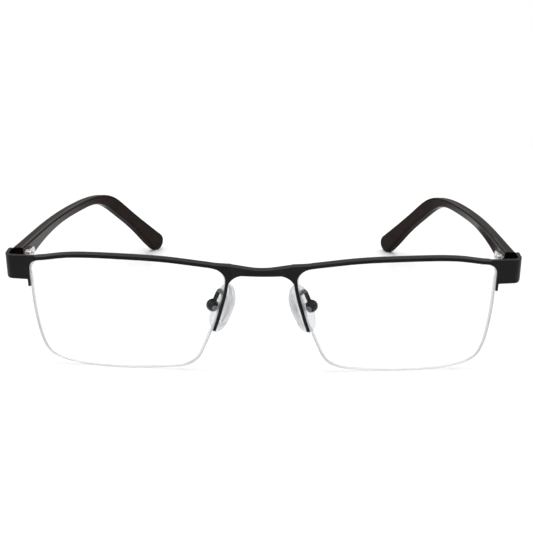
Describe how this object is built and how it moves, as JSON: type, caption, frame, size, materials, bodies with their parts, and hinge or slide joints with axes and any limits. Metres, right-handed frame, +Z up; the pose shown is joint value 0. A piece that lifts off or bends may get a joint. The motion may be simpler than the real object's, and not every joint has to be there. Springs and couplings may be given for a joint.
{
  "type": "half rim eyeglasses",
  "caption": "Half rim eyeglasses with a black top frame, clear lenses held from below by a nylon line, soft nose pads and dark folding temples.",
  "frame": {"origin": "centre of the bounding box at its lowest height, on the surface the glasses stand on", "axes": "+X to the right as seen from in front, +Y from the front towards the wearer, +Z up"},
  "size_m": [0.1406, 0.1332, 0.0339],
  "materials": {
    "black_metal": "satin black",
    "lens_glass": "polished, antireflection coated",
    "clear_nylon": "clear nylon line",
    "silver_metal": "nickel, fine brushed",
    "screw_steel": "bright steel",
    "dark_steel": "dark nickel",
    "dark_acetate": "polished very dark brown",
    "core_wire": "drawn wire",
    "pad_arm_metal": "gloss black",
    "pad_insert": "clear hard plastic",
    "pad_silicone": "clear silicone"
  },
  "bodies": {
    "front": {"front_frame": "black_metal", "lens_left": "lens_glass", "lens_right": "lens_glass", "rim_liner_left": "clear_nylon", "rim_liner_right": "clear_nylon", "lens_cord_left": "clear_nylon", "lens_cord_right": "clear_nylon", "front_hinge_left": "silver_metal", "front_hinge_right": "silver_metal", "hinge_screw_left": "screw_steel", "hinge_screw_right": "screw_steel", "pad_arm_left": "pad_arm_metal", "pad_arm_right": "pad_arm_metal", "pad_box_left": "pad_arm_metal", "pad_box_right": "pad_arm_metal", "pad_screw_left": "dark_steel", "pad_screw_right": "dark_steel"},
    "left_temple": {"temple_left": "dark_acetate", "temple_core_left": "core_wire", "temple_hinge_left": "silver_metal", "hinge_rivets_left": "screw_steel"},
    "left_pad": {"nose_pad_left": "pad_silicone", "pad_core_left": "pad_insert"},
    "right_temple": {"temple_right": "dark_acetate", "temple_core_right": "core_wire", "temple_hinge_right": "silver_metal", "hinge_rivets_right": "screw_steel"},
    "right_pad": {"nose_pad_right": "pad_silicone", "pad_core_right": "pad_insert"}
  },
  "joints": [
    {"name": "left_temple_hinge", "type": "hinge", "parent": "front", "child": "left_temple", "pos_m": [-0.065, -0.05443, 0.02938], "axis": [0, 0.1045, -0.9945], "range_deg": [0, 83]},
    {"name": "right_temple_hinge", "type": "hinge", "parent": "front", "child": "right_temple", "pos_m": [0.065, -0.05443, 0.02938], "axis": [0, -0.1045, 0.9945], "range_deg": [0, 75]},
    {"name": "left_pad_rock", "type": "hinge", "parent": "front", "child": "left_pad", "pos_m": [-0.01365, -0.05834, 0.0179], "axis": [-0.4468, 0.8577, 0.2545], "range_deg": [-8, 8]},
    {"name": "right_pad_rock", "type": "hinge", "parent": "front", "child": "right_pad", "pos_m": [0.01365, -0.05834, 0.0179], "axis": [0.4468, 0.8577, 0.2545], "range_deg": [-8, 8]}
  ]
}
